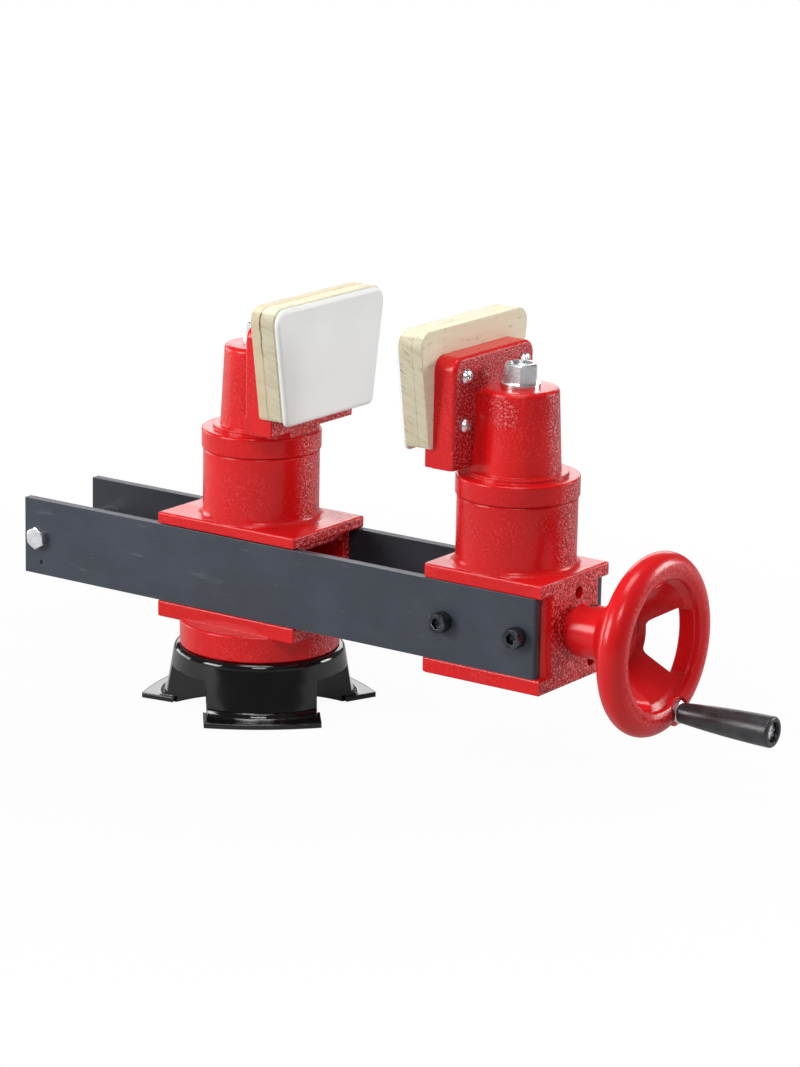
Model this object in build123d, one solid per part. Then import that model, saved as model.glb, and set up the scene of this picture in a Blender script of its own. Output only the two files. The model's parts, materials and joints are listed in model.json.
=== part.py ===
from build123d import *
import os
from math import atan2, cos, degrees, radians, sin, tan

# A bench vise for carving: two swivelling padded jaws on a pair of flat rails.
# Frame: origin on the swivel axis at bench level, +Z up, +X along the rails to the handwheel.
# Rear means the jaw over the base, front means the jaw beside the handwheel, near is -Y.

# Rails
rail_length = 397.5
rail_height = 50.0
rail_thickness = 6.0
rails_outer_width = 75.0
rail_setback = 3.8
rail_corner_radius = 2.0
jaw_axis_spacing = 194.0

# Base tripod
base_height = 37.5
base_top_radius = 55.0
base_shoulder = 3.5
base_wall = 4.0
base_foot_radius = 60.5
base_arch_height = 24.5
leg_width = 69.6
leg_wall_rise = 9.0
leg_wall_rise_reach = 54.0
foot_width = 74.0
foot_reach = 69.5
foot_edge_sagitta = 4.0
foot_thickness = 3.2
foot_fillet = 4.5
leg_angle = -51.0

# Central pivot and the bolt hole to the bench
pivot_radius = 12.0
pivot_flange_radius = 18.0
pivot_flange = 4.0
pivot_pin_length = 19.5
pivot_groove_rise = 6.0
pivot_groove_width = 8.6
pivot_groove_depth = 2.0
lock_screw_radius = 4.0
pivot_nut_flats = 36.0
pivot_nut_height = 12.0
pivot_washer_radius = 23.0
pivot_washer_thickness = 3.0
bench_bolt_radius = 5.1
bench_bolt_depth = 30.0

# Carriage casting
carriage_boss_radius = 51.3
carriage_boss_height = 17.2
carriage_lower_plate = 9.3
carriage_upper_plate = 7.6
carriage_length = 108.2
carriage_end_recess = 7.0
bulkhead_length = 36.0
tunnel_width = 50.0
tunnel_height = 40.0
tunnel_corner = 8.0
column_radius = 37.0
column_height = 44.0
column_flare = 5.0
flare_sink = 0.15
cast_edge = 1.4

# Front block casting
block_length = 86.6
block_lower_plate = 9.9
block_upper_plate = 8.9
block_body_setback = 5.0
block_corner_radius = 8.0
block_plate_corner = 4.0

# Jaw castings
collar_radius = 38.0
collar_height = 13.0
spigot_radius = 22.0
spigot_depth = 8.0
ring_radius = 31.0
ring_height = 2.4
post_height = 53.5
post_foot_radius = 26.4
post_top_radius = 23.8
post_top_edge = 3.0
web_half_width = 24.5
jaw_plate_back = 18.5
jaw_plate_thickness = 15.0
jaw_plate_half_width = 43.0
jaw_plate_drop = 5.5
jaw_plate_height = 68.5
jaw_plate_corner = 9.0
plate_edge = 2.6
ledge_depth = 6.0
ledge_height = 12.0

# Jaw pads: two boards and a soft facing
pad_height = 72.2
pad_top_half_width = 58.5
pad_bottom_half_width = 47.0
pad_corner = 9.0
pad_lower_corner = 2.5
backing_thickness = 7.0
board_thickness = 10.0
facing_thickness = 3.5
facing_hang = 3.0
facing_inset = 0.8
pad_screw_spacing = 63.0
pad_screw_rise = 30.0
pad_screw_height = 26.5
pad_screw_radius = 2.4
pad_screw_head_radius = 4.6
pad_screw_head_height = 3.2
pad_screw_bite = 12.0

# Jaw studs and nuts
stud_radius = 6.0
stud_embed = 36.0
stud_nut_flats = 19.0
stud_nut_height = 12.0
stud_nut_cup = 2.0
stud_washer_radius = 12.3
stud_washer_thickness = 2.5

# Rail screws and the tie bolt at the rear of the rails
block_screw_spacing = 54.0
block_screw_radius = 4.0
block_screw_head_radius = 6.6
block_screw_head_height = 8.0
block_screw_socket = 6.0
block_screw_bite = 14.0
tie_bolt_inset = 12.0
tie_bolt_radius = 4.0
tie_bolt_flats = 13.0
tie_bolt_head = 5.3
tie_nut_height = 6.5
tie_washer_radius = 8.0
tie_washer_thickness = 1.6
tie_tail = 2.0
spacer_radius = 7.0
dimple_radius = 2.0
dimple_depth = 1.2
dimple_drop = 17.0

# Lead screw, its nut and bearings
screw_radius = 8.0
screw_rear_reach = 130.0
journal_radius = 7.0
lead_nut_radius = 13.0
lead_nut_flange_radius = 19.0
lead_nut_flange = 5.0
lead_nut_screw_ring = 15.8
lead_nut_screw_radius = 2.0
lead_nut_screw_head_radius = 3.4
lead_nut_screw_head = 4.0
lead_nut_screw_bite = 10.0
bush_radius = 10.5
bush_length = 22.0
thrust_washer_thickness = 2.5
thrust_washer_radius = 13.5
thrust_collar_radius = 13.0
thrust_collar_length = 5.0
end_screw_radius = 3.4
end_screw_pocket_radius = 4.1
end_screw_pocket = 5.0
end_screw_length = 12.0
end_key_flats = 3.2
end_key_depth = 2.5
end_screw_places = ((4.4, 21.2), (20.2, -24.5))

# Handwheel and handle
hub_radius = 16.5
hub_length = 31.0
wheel_radius = 56.5
rim_depth = 16.5
rim_width = 16.0
rim_offset = 52.4
wheel_web = 7.0
window_inner_radius = 22.0
window_outer_radius = 40.5
window_spread = 76.0
window_corner = 5.0
handle_angle = -68.7
handle_circle = 48.2
handle_boss_radius = 9.0
handle_boss_setback = 2.0
wheel_screw_radius = 3.0
wheel_screw_length = 9.0
spindle_radius = 4.0
spindle_embed = 11.0
spindle_nut_flats = 13.0
spindle_nut_height = 3.5
spindle_head_radius = 5.2
spindle_head_height = 3.2
grip_length = 63.5
grip_root_radius = 6.3
grip_end_radius = 9.6
grip_end_rounding = 1.6
grip_recess_radius = 6.4
grip_recess_depth = 6.0

# Clearances
slide_gap = 0.3
running_gap = 0.05
screw_gap = 0.1
bolt_gap = 0.25

# Places worked out from the sizes
carriage_floor = base_height
plate_floor = carriage_floor + carriage_boss_height
rail_bottom = plate_floor + carriage_lower_plate + slide_gap
rail_top = rail_bottom + rail_height
screw_height = rail_bottom + rail_height / 2
carriage_plate_top = rail_top + slide_gap + carriage_upper_plate
column_top = carriage_plate_top + column_height
rail_outer = rails_outer_width / 2
rail_inner = rail_outer - rail_thickness
block_front = jaw_axis_spacing + block_length / 2
block_rear = jaw_axis_spacing - block_length / 2
rail_front = block_front - rail_setback
rail_rear = rail_front - rail_length
tie_x = rail_rear + tie_bolt_inset
post_floor = column_top + collar_height
post_top = post_floor + post_height
jaw_plate_bottom = post_floor + jaw_plate_drop
jaw_plate_front = jaw_plate_back + jaw_plate_thickness
ledge_top = jaw_plate_bottom + ledge_height
backing_front = jaw_plate_front + backing_thickness
board_front = backing_front + board_thickness
web_half_length = carriage_length / 2 - carriage_end_recess
nut_front = bulkhead_length / 2 + lead_nut_flange
hub_rear = block_front + thrust_collar_length
hub_front = hub_rear + hub_length
wheel_middle = hub_rear + rim_offset
handle_y = handle_circle * cos(radians(handle_angle))
handle_z = screw_height + handle_circle * sin(radians(handle_angle))
handle_face = wheel_middle + rim_width / 2 - handle_boss_setback
grip_root = handle_face + spindle_nut_height + slide_gap
grip_end = grip_root + grip_length
spindle_head_x = grip_end - grip_recess_depth + slide_gap


def rod(radius, length, start, along):
    """Round bar of the given length from a start point."""
    bar = Cylinder(radius, length, align=(Align.CENTER, Align.CENTER, Align.MIN))
    return Plane(origin=start, z_dir=along) * bar


def block(x0, x1, y0, y1, z0, z1):
    """Square block between two corners."""
    return Pos(x0, y0, z0) * Box(x1 - x0, y1 - y0, z1 - z0, align=(Align.MIN,) * 3)


def soft_block(x0, x1, y0, y1, z0, z1, edge):
    """Block with every edge rounded, as a casting has."""
    shape = block(x0, x1, y0, y1, z0, z1)
    return fillet(shape.edges(), edge)


def turned(points):
    """Solid turned about +Z from points of radius and height."""
    return revolve(Plane.XZ * make_face(Polyline(*points, close=True)), Axis.Z)


def hexagon(flats, height, start, along):
    """Hexagonal prism with its far corners bevelled, as on a nut or a bolt head."""
    prism = extrude(RegularPolygon(flats / 2, 6, major_radius=False), height)
    crown, skirt = flats / 2 * 0.95, flats
    drop = (skirt - crown) * tan(radians(30))
    cone = turned(((0, -1), (skirt, -1), (skirt, height - drop), (crown, height), (0, height)))
    return Plane(origin=start, z_dir=along) * (prism & cone)


def ring(outer, inner, length, start, along):
    """Plain washer, bush or tube."""
    return rod(outer, length, start, along) - rod(inner, length, start, along)


# Base


def leg_directions():
    return [leg_angle + 120 * i for i in range(3)]


def leg_blocks(reach, inset=0.0):
    half = leg_width / 2 - inset
    return [Rot(0, 0, a) * block(0, reach, -half, half, 0, base_height) for a in leg_directions()]


def leg_walls(reach):
    """Upright walls along both sides of each leg, arched a little where two legs meet."""
    first, *others = leg_blocks(reach)
    walls = first + others - leg_blocks(reach, base_wall)
    corner = (leg_width / 2 - base_wall) / sin(radians(60))
    start, rise = leg_wall_rise_reach, leg_wall_rise
    return walls - turned(((0, -1), (start, -1), (start, 0), (corner, rise), (0, rise)))


def base_tripod():
    """Pressed shell on three legs, with a flat foot at the end of each leg."""
    def half_section(inset):
        top, wall, foot = base_height - inset, base_top_radius - inset, base_foot_radius - inset
        corner = base_shoulder - inset / 2
        return top, wall, foot, corner

    def dome(inset):
        top, wall, foot, corner = half_section(inset)
        side = Polyline((0, top), (0, 0), (foot, 0), (wall, top - corner))
        arc = RadiusArc((wall, top - corner), (wall - corner, top), -corner)
        return revolve(Plane.XZ * make_face([side, arc, Line((wall - corner, top), (0, top))]), Axis.Z)

    edge = foot_reach - foot_edge_sagitta
    half = foot_width / 2
    rim = ThreePointArc((edge, -half), (foot_reach, 0), (edge, half))
    outline = make_face([rim, Polyline((edge, half), (0, half), (0, -half), (edge, -half))])
    sweep = RadiusArc((base_foot_radius + foot_fillet, foot_thickness),
                      (base_foot_radius, foot_thickness + foot_fillet), foot_fillet)
    under = Polyline((base_foot_radius, foot_thickness + foot_fillet), (base_foot_radius - base_wall, 0),
                     (base_foot_radius + foot_fillet, 0), (base_foot_radius + foot_fillet, foot_thickness))
    blend = revolve(Plane.XZ * make_face([sweep, under]), Axis.Z)
    reach = foot_reach + foot_width
    above = block(-reach, reach, -reach, reach, base_arch_height, base_height)
    shape = (dome(0) + blend) & (above + leg_blocks(reach))
    shape += [Rot(0, 0, a) * extrude(outline, foot_thickness) for a in leg_directions()]
    shape -= dome(base_wall)
    shape += leg_walls(reach) & dome(base_wall / 2)
    return shape - rod(pivot_radius + running_gap, base_height, (0, 0, 0), (0, 0, 1))


def pivot_post():
    """Post fixed in the base: the casting turns on its pin, and the bench bolt screws into it."""
    top = base_height + pivot_flange + pivot_pin_length
    post = rod(pivot_radius, top, (0, 0, 0), (0, 0, 1))
    post = chamfer(post.edges().filter_by(GeomType.CIRCLE), 1.0)
    post += rod(pivot_flange_radius, pivot_flange, (0, 0, base_height), (0, 0, 1))
    groove = base_height + pivot_flange + pivot_groove_rise - pivot_groove_width / 2
    post -= ring(pivot_radius + 1, pivot_radius - pivot_groove_depth, pivot_groove_width,
                 (0, 0, groove), (0, 0, 1))
    return post - rod(bench_bolt_radius, bench_bolt_depth, (0, 0, 0), (0, 0, 1))


def pivot_washer():
    return ring(pivot_washer_radius, pivot_radius + running_gap, pivot_washer_thickness,
                (0, 0, base_height - base_wall), (0, 0, -1))


def pivot_nut():
    top = base_height - base_wall - pivot_washer_thickness
    nut = hexagon(pivot_nut_flats, pivot_nut_height, (0, 0, top), (0, 0, -1))
    return nut - rod(pivot_radius + running_gap, pivot_nut_height, (0, 0, top), (0, 0, -1))


def lock_screw_seat():
    """Start point and direction of the screw whose tip rides in the groove of the post."""
    z = base_height + pivot_flange + pivot_groove_rise
    tip = pivot_radius - pivot_groove_depth + slide_gap
    return (0, tip, z), (0, 1, 0)


def lock_screw():
    """Set screw at the back of the casting that holds it down on its post and locks it."""
    start, along = lock_screw_seat()
    length = carriage_boss_radius - start[1] - end_screw_pocket
    screw = rod(lock_screw_radius, length, start, along)
    mouth = (start[0], start[1] + length - end_key_depth, start[2])
    return screw - Plane(origin=mouth, z_dir=along) * extrude(
        RegularPolygon(end_key_flats / 2, 6, major_radius=False), end_key_depth)


# Castings


def column(x, floor, x_low, x_high):
    """Round column on its plate, with a soft flare at the foot that stays on the plate."""
    r, f = column_radius, column_flare
    stem = rod(r, column_top - floor + cast_edge, (x, 0, floor - cast_edge), (0, 0, 1))
    stem = fillet(stem.edges().filter_by(GeomType.CIRCLE).sort_by(Axis.Z)[-1], cast_edge)
    sweep = RadiusArc((r + f, 0), (r, f), f)
    back = Polyline((r, f), (r - f, f), (r - f, 0), (r + f, 0))
    flare = Pos(x, 0, floor - flare_sink) * revolve(Plane.XZ * make_face([sweep, back]), Axis.Z)
    flat = rail_outer - 2 * cast_edge
    flare &= block(x_low, x_high, -flat, flat, floor - cast_edge, column_top)
    socket = rod(spigot_radius + running_gap, spigot_depth + slide_gap, (x, 0, column_top), (0, 0, -1))
    thread = rod(stud_radius + running_gap, stud_embed, (x, 0, column_top - spigot_depth), (0, 0, -1))
    return stem + flare, socket + thread


def tunnel(x0, x1):
    """Rounded pocket for the lead screw, open at the end of the casting."""
    half, low = tunnel_width / 2, screw_height - tunnel_height / 2
    pocket = block(x0, x1, -half, half, low, low + tunnel_height)
    return fillet(pocket.edges().filter_by(Axis.X), tunnel_corner)


def carriage():
    """Rear casting: boss, channel for the rails, top plate and jaw column."""
    end = carriage_length / 2
    half = bulkhead_length / 2
    inner = rail_inner - slide_gap
    lower_top = plate_floor + carriage_lower_plate
    upper_floor = rail_top + slide_gap
    boss = rod(carriage_boss_radius, carriage_boss_height, (0, 0, carriage_floor), (0, 0, 1))
    boss = fillet(boss.edges().filter_by(GeomType.CIRCLE), cast_edge)
    shape = boss + soft_block(-end, end, -rail_outer, rail_outer,
                              plate_floor - cast_edge, lower_top, cast_edge)
    shape += block(-web_half_length, web_half_length, -inner, inner,
                   lower_top - cast_edge, upper_floor + cast_edge)
    shape += soft_block(-end, end, -rail_outer, rail_outer,
                        upper_floor, carriage_plate_top, cast_edge)
    stem, hollow = column(0, carriage_plate_top, -end, end)
    shape += stem
    shape -= [tunnel(half, end), tunnel(-end, -half), hollow]
    shape -= rod(lead_nut_radius + running_gap, bulkhead_length, (-half, 0, screw_height), (1, 0, 0))
    shape -= rod(pivot_radius + running_gap, pivot_flange + pivot_pin_length + slide_gap,
                 (0, 0, carriage_floor), (0, 0, 1))
    shape -= rod(pivot_flange_radius + slide_gap, pivot_flange + slide_gap,
                 (0, 0, carriage_floor), (0, 0, 1))
    start, along = lock_screw_seat()
    shape -= rod(lock_screw_radius + screw_gap, carriage_boss_radius, start, along)
    for y, z in lead_nut_screws_at():
        shape -= rod(lead_nut_screw_radius + screw_gap, lead_nut_screw_bite + 1,
                     (half, y, z), (-1, 0, 0))
    return shape


def front_block():
    """Front casting: plates above and below the rails, body between them and jaw column."""
    inner = rail_inner
    lower_floor = rail_bottom - block_lower_plate
    upper_top = rail_top + block_upper_plate
    rear = block_rear + block_body_setback

    def plate(z0, z1):
        slab = block(block_rear, block_front, -rail_outer, rail_outer, z0, z1)
        corners = slab.edges().filter_by(Axis.Z).group_by(Axis.X)[0]
        slab = fillet(corners, block_plate_corner)
        return fillet(slab.faces().sort_by(Axis.Z)[-1].edges()
                      + slab.faces().sort_by(Axis.Z)[0].edges(), cast_edge)

    body = block(rear, block_front, -inner, inner, rail_bottom - 1, rail_top + 1)
    body = fillet(body.edges().filter_by(Axis.Z).group_by(Axis.X)[-1], block_corner_radius)
    shape = plate(lower_floor, rail_bottom) + body + plate(rail_top, upper_top)
    stem, hollow = column(jaw_axis_spacing, upper_top, block_rear + 2 * cast_edge,
                          block_front - 2 * cast_edge)
    shape += stem
    shape -= hollow
    shape -= rod(bush_radius + running_gap, block_length, (block_rear, 0, screw_height), (1, 0, 0))
    for x in block_screw_xs():
        for side in (-1, 1):
            shape -= rod(block_screw_radius + screw_gap, block_screw_bite + 1,
                         (x, side * rail_inner, screw_height), (0, -side, 0))
    for y, z in end_screw_places:
        mouth = (block_front, y, screw_height + z)
        shape -= rod(end_screw_pocket_radius, end_screw_pocket, mouth, (-1, 0, 0))
        shape -= rod(end_screw_radius + screw_gap, end_screw_pocket + end_screw_length + 1,
                     mouth, (-1, 0, 0))
    return shape


def jaw():
    """Jaw casting in its own place: collar on the axis, post, plate and ledge towards +X."""
    collar = rod(collar_radius, collar_height, (0, 0, column_top), (0, 0, 1))
    collar = fillet(collar.edges().filter_by(GeomType.CIRCLE), cast_edge)
    collar += rod(spigot_radius, spigot_depth, (0, 0, column_top), (0, 0, -1))
    collar += rod(ring_radius, ring_height, (0, 0, post_floor), (0, 0, 1))
    taper = degrees(atan2(post_foot_radius - post_top_radius, post_height))
    foot = Circle(post_foot_radius)
    foot += Pos(jaw_plate_back / 2, 0) * Rectangle(jaw_plate_back, 2 * web_half_width)
    post = Pos(0, 0, post_floor) * extrude(foot, post_height, taper=taper)
    post = fillet(post.faces().sort_by(Axis.Z)[-1].edges(), post_top_edge)
    web = block(0, jaw_plate_back + 2, -web_half_width + 3, web_half_width - 3,
                post_floor, post_top - post_top_edge)

    half, low, high = jaw_plate_half_width, jaw_plate_bottom, jaw_plate_bottom + jaw_plate_height
    plate = block(jaw_plate_back, jaw_plate_front, -half, half, low, high)
    plate = fillet(plate.edges().filter_by(Axis.X).group_by(Axis.Z)[-1], jaw_plate_corner)
    rear_face = plate.faces().filter_by(Plane.YZ).sort_by(Axis.X)[0]
    plate = fillet(rear_face.edges(), plate_edge)
    ledge = soft_block(jaw_plate_back, jaw_plate_front + ledge_depth, -half, half,
                       low, ledge_top, cast_edge * 0.7)
    foot_web = block(0, jaw_plate_front, -web_half_width + 2, web_half_width - 2,
                     post_floor, low + cast_edge * 2)
    foot_web = foot_web & rod(collar_radius - cast_edge, post_height, (0, 0, post_floor), (0, 0, 1))
    shape = collar + post + web + plate + ledge + foot_web
    shape -= rod(stud_radius + bolt_gap, post_top - column_top + spigot_depth,
                 (0, 0, column_top - spigot_depth), (0, 0, 1))
    for y, z in pad_screw_places():
        shape -= rod(pad_screw_radius + screw_gap, jaw_plate_thickness,
                     (jaw_plate_back, y, z), (1, 0, 0))
    return shape


# Pads


def pad_outline(x, low, high, inset, lower_corner):
    """Outline of a pad: wider at the top, with rounded corners."""
    def half_width(z):
        share = (z - ledge_top) / pad_height
        return pad_bottom_half_width + (pad_top_half_width - pad_bottom_half_width) * share - inset

    low_half, high_half = half_width(low), half_width(high)
    outline = Polyline((-low_half, low), (low_half, low), (high_half, high), (-high_half, high),
                       close=True)
    face = make_face(outline)
    upper = face.vertices().group_by(Axis.Y)[-1]
    face = fillet(upper, pad_corner)
    lower = face.vertices().group_by(Axis.Y)[0]
    return Plane(origin=(x, 0, 0), x_dir=(0, 1, 0), z_dir=(1, 0, 0)) * fillet(lower, lower_corner)


def pad_layer(x, thickness, low, high, inset, lower_corner):
    return extrude(pad_outline(x, low, high, inset, lower_corner), thickness, dir=(1, 0, 0))


def pad_screw_places():
    low = ledge_top + pad_screw_height - ledge_height
    return [(side * pad_screw_spacing / 2, low + rise)
            for side in (-1, 1) for rise in (0, pad_screw_rise)]


def pad_backing():
    layer = pad_layer(jaw_plate_front, backing_thickness, ledge_top, ledge_top + pad_height,
                      0, pad_lower_corner)
    for y, z in pad_screw_places():
        layer -= rod(pad_screw_radius + screw_gap, backing_thickness, (jaw_plate_front, y, z),
                     (1, 0, 0))
    return layer


def pad_board():
    layer = pad_layer(backing_front, board_thickness, ledge_top, ledge_top + pad_height,
                      0, pad_lower_corner)
    for y, z in pad_screw_places():
        layer -= rod(pad_screw_radius + screw_gap, pad_screw_bite - backing_thickness + 1,
                     (backing_front, y, z), (1, 0, 0))
    return layer


def pad_facing():
    return pad_layer(board_front, facing_thickness, ledge_top - facing_hang,
                     ledge_top + pad_height - facing_inset, facing_inset, pad_lower_corner * 2)


def pad_screws():
    """Four pan-head screws with a cross recess, through the plate into the boards."""
    head = turned(((0, 0), (pad_screw_head_radius, 0), (pad_screw_head_radius, 1.0),
                   (pad_screw_head_radius * 0.8, pad_screw_head_height * 0.8),
                   (pad_screw_head_radius * 0.4, pad_screw_head_height),
                   (0, pad_screw_head_height)))
    slot = block(-2.6, 2.6, -0.5, 0.5, pad_screw_head_height - 1.4, pad_screw_head_height)
    head -= slot + Rot(0, 0, 90) * slot
    shank = rod(pad_screw_radius, jaw_plate_thickness + pad_screw_bite, (0, 0, 0), (0, 0, -1))
    screw = head + shank
    return [Plane(origin=(jaw_plate_back, y, z), z_dir=(-1, 0, 0)) * Rot(0, 0, 20 * i) * screw
            for i, (y, z) in enumerate(pad_screw_places())]


# Jaw clamp


def jaw_stud():
    top = post_top + stud_washer_thickness + stud_nut_height - stud_nut_cup
    low = column_top - spigot_depth - stud_embed
    return rod(stud_radius, top - low, (0, 0, low), (0, 0, 1))


def jaw_washer():
    return ring(stud_washer_radius, stud_radius + running_gap, stud_washer_thickness,
                (0, 0, post_top), (0, 0, 1))


def jaw_nut():
    floor = post_top + stud_washer_thickness
    nut = hexagon(stud_nut_flats, stud_nut_height, (0, 0, floor), (0, 0, 1))
    nut -= rod(stud_radius + running_gap, stud_nut_height, (0, 0, floor), (0, 0, 1))
    top = floor + stud_nut_height
    mouth = stud_radius + 1.3
    return nut - turned(((0, top - stud_nut_cup), (stud_radius, top - stud_nut_cup),
                         (mouth, top), (0, top)))


# Rails and their fasteners


def block_screw_xs():
    return [jaw_axis_spacing + s * block_screw_spacing / 2 for s in (-1, 1)]


def rail(side):
    """Flat rail, drilled for the two block screws and the tie bolt, with one punched dimple."""
    y0, y1 = sorted((side * rail_inner, side * rail_outer))
    bar = block(rail_rear, rail_front, y0, y1, rail_bottom, rail_top)
    outer_face = bar.faces().sort_by(Axis.Y)[-1 if side > 0 else 0]
    bar = fillet(outer_face.edges().filter_by(Axis.Z).sort_by(Axis.X)[-1], rail_corner_radius)
    for x in block_screw_xs():
        bar -= rod(block_screw_radius + screw_gap, rail_thickness, (x, side * rail_inner, screw_height),
                   (0, side, 0))
    bar -= rod(tie_bolt_radius + screw_gap, rail_thickness, (tie_x, side * rail_inner, screw_height),
               (0, side, 0))
    return bar - rod(dimple_radius, dimple_depth,
                     (tie_x + 2, side * rail_outer, screw_height - dimple_drop), (0, -side, 0))


def block_screws(side):
    """Two socket cap screws that hold a rail to the front block."""
    head = rod(block_screw_head_radius, block_screw_head_height, (0, 0, 0), (0, 0, 1))
    head = chamfer(head.edges().filter_by(GeomType.CIRCLE).sort_by(Axis.Z)[-1], 0.7)
    head -= Pos(0, 0, block_screw_head_height / 2) * extrude(
        RegularPolygon(block_screw_socket / 2, 6, major_radius=False), block_screw_head_height / 2)
    shank = rod(block_screw_radius, rail_thickness + block_screw_bite, (0, 0, 0), (0, 0, -1))
    screw = head + shank
    return [Plane(origin=(x, side * rail_outer, screw_height), z_dir=(0, side, 0)) * screw
            for x in block_screw_xs()]


def tie_bolt():
    head = hexagon(tie_bolt_flats, tie_bolt_head, (tie_x, -rail_outer, screw_height), (0, -1, 0))
    tail = rails_outer_width + tie_washer_thickness + tie_nut_height + tie_tail
    return head + rod(tie_bolt_radius, tail, (tie_x, -rail_outer, screw_height), (0, 1, 0))


def tie_spacer():
    return ring(spacer_radius, tie_bolt_radius + screw_gap, 2 * rail_inner,
                (tie_x, -rail_inner, screw_height), (0, 1, 0))


def tie_washer():
    return ring(tie_washer_radius, tie_bolt_radius + screw_gap, tie_washer_thickness,
                (tie_x, rail_outer, screw_height), (0, 1, 0))


def tie_nut():
    seat = (tie_x, rail_outer + tie_washer_thickness, screw_height)
    nut = hexagon(tie_bolt_flats, tie_nut_height, seat, (0, 1, 0))
    return nut - rod(tie_bolt_radius + running_gap, tie_nut_height, seat, (0, 1, 0))


# Lead screw and bearings


def lead_nut_screws_at():
    return [(side * lead_nut_screw_ring, screw_height) for side in (-1, 1)]


def lead_nut():
    """Flanged nut in the carriage bulkhead."""
    half = bulkhead_length / 2
    nut = rod(lead_nut_radius, bulkhead_length, (-half, 0, screw_height), (1, 0, 0))
    nut += rod(lead_nut_flange_radius, lead_nut_flange, (half, 0, screw_height), (1, 0, 0))
    nut -= rod(screw_radius + running_gap, bulkhead_length + lead_nut_flange,
               (-half, 0, screw_height), (1, 0, 0))
    for y, z in lead_nut_screws_at():
        nut -= rod(lead_nut_screw_radius + screw_gap, lead_nut_flange, (half, y, z), (1, 0, 0))
    return nut


def lead_nut_screws():
    reach = lead_nut_flange + lead_nut_screw_bite
    return [rod(lead_nut_screw_radius, reach, (nut_front, y, z), (-1, 0, 0))
            + rod(lead_nut_screw_head_radius, lead_nut_screw_head, (nut_front, y, z), (1, 0, 0))
            for y, z in lead_nut_screws_at()]


def lead_screw():
    """Threaded rod, plain where it turns in the block and carries the handwheel."""
    shoulder = block_rear + block_body_setback - thrust_washer_thickness - running_gap
    thread = rod(screw_radius, shoulder + screw_rear_reach, (-screw_rear_reach, 0, screw_height),
                 (1, 0, 0))
    thread = chamfer(thread.edges().filter_by(GeomType.CIRCLE).sort_by(Axis.X)[0], 1.5)
    journal = rod(journal_radius, hub_front - shoulder, (shoulder, 0, screw_height), (1, 0, 0))
    return thread + journal


def screw_bush(end):
    """Plain bush in one end of the block, flush with its face."""
    faces = {"rear": (block_rear + block_body_setback, 1), "front": (block_front, -1)}
    x, way = faces[end]
    return ring(bush_radius, journal_radius + running_gap, bush_length, (x, 0, screw_height),
                (way, 0, 0))


def thrust_washer():
    seat = block_rear + block_body_setback - running_gap / 2
    return ring(thrust_washer_radius, journal_radius + running_gap, thrust_washer_thickness,
                (seat, 0, screw_height), (-1, 0, 0))


def thrust_collar():
    return ring(thrust_collar_radius, journal_radius + running_gap,
                thrust_collar_length - running_gap, (block_front + running_gap, 0, screw_height),
                (1, 0, 0))


def end_screws():
    """Two socket set screws, sunk in the end face of the block."""
    def one(y, z):
        mouth = (block_front - end_screw_pocket, y, screw_height + z)
        screw = rod(end_screw_radius, end_screw_length, mouth, (-1, 0, 0))
        key = extrude(RegularPolygon(end_key_flats / 2, 6, major_radius=False), end_key_depth)
        start = (mouth[0] - end_key_depth, mouth[1], mouth[2])
        return screw - Plane(origin=start, z_dir=(1, 0, 0)) * key

    return [one(y, z) for y, z in end_screw_places]


# Handwheel and handle


def wheel_window(angle):
    """One window between two spokes, cut straight through along the axis."""
    r0, r1, half = window_inner_radius, window_outer_radius, radians(window_spread / 2)
    narrow = half * 0.62
    points = [(r0 * cos(-narrow), r0 * sin(-narrow)), (r1 * cos(-half), r1 * sin(-half))]
    rim = ThreePointArc(points[1], (r1, 0), (points[1][0], -points[1][1]))
    side = Line((points[1][0], -points[1][1]), (points[0][0], -points[0][1]))
    root = ThreePointArc((points[0][0], -points[0][1]), (r0, 0), points[0])
    face = make_face([Line(*points), rim, side, root])
    face = fillet(face.vertices(), window_corner)
    plane = Plane(origin=(hub_rear, 0, screw_height), x_dir=(0, 1, 0), z_dir=(1, 0, 0))
    return extrude(plane * Rot(0, 0, angle) * face, rim_offset + rim_width)


def handwheel():
    """Dished handwheel: hub, coned web with three windows, rounded rim and handle boss."""
    back, mid = 0.0, rim_offset
    half, r_out = rim_width / 2, wheel_radius
    r_in = wheel_radius - rim_depth
    web_start, web = hub_length - 12.0, wheel_web
    hub = Polyline((0, back), (hub_radius, back), (hub_radius, web_start),
                   (hub_radius + 5, web_start + 3), (r_in, mid - half + 1))
    outer = ThreePointArc((r_in, mid - half + 1), (r_out, mid - 1), (r_in + 4, mid + half))
    lip = Polyline((r_in + 4, mid + half), (r_in + 1, mid + half - 1.5), (r_in + 1, mid + half - 5),
                   (r_in - 3, mid - half + 1 + web), (hub_radius + 3, web_start + 3 + web),
                   (hub_radius - 2, hub_length), (0, hub_length), (0, back))
    profile = Plane.XZ * make_face([hub, outer, lip])
    wheel = revolve(profile, Axis.Z)
    wheel = Plane(origin=(hub_rear, 0, screw_height), x_dir=(0, 1, 0), z_dir=(1, 0, 0)) * wheel
    for i in range(3):
        wheel -= wheel_window(handle_angle + 60 + 120 * i)
    boss_start = wheel_middle - rim_width / 2 + 3
    wheel += rod(handle_boss_radius, handle_face - boss_start, (boss_start, handle_y, handle_z),
                 (1, 0, 0))
    wheel -= rod(handle_boss_radius, rim_width, (handle_face, handle_y, handle_z), (1, 0, 0))
    wheel -= rod(journal_radius + running_gap, hub_length, (hub_rear, 0, screw_height), (1, 0, 0))
    wheel -= rod(spindle_radius + running_gap, spindle_embed + 1,
                 (handle_face, handle_y, handle_z), (-1, 0, 0))
    return wheel - rod(wheel_screw_radius + screw_gap, hub_radius,
                       (hub_rear + 8, 0, screw_height), (0, 0, 1))


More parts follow.
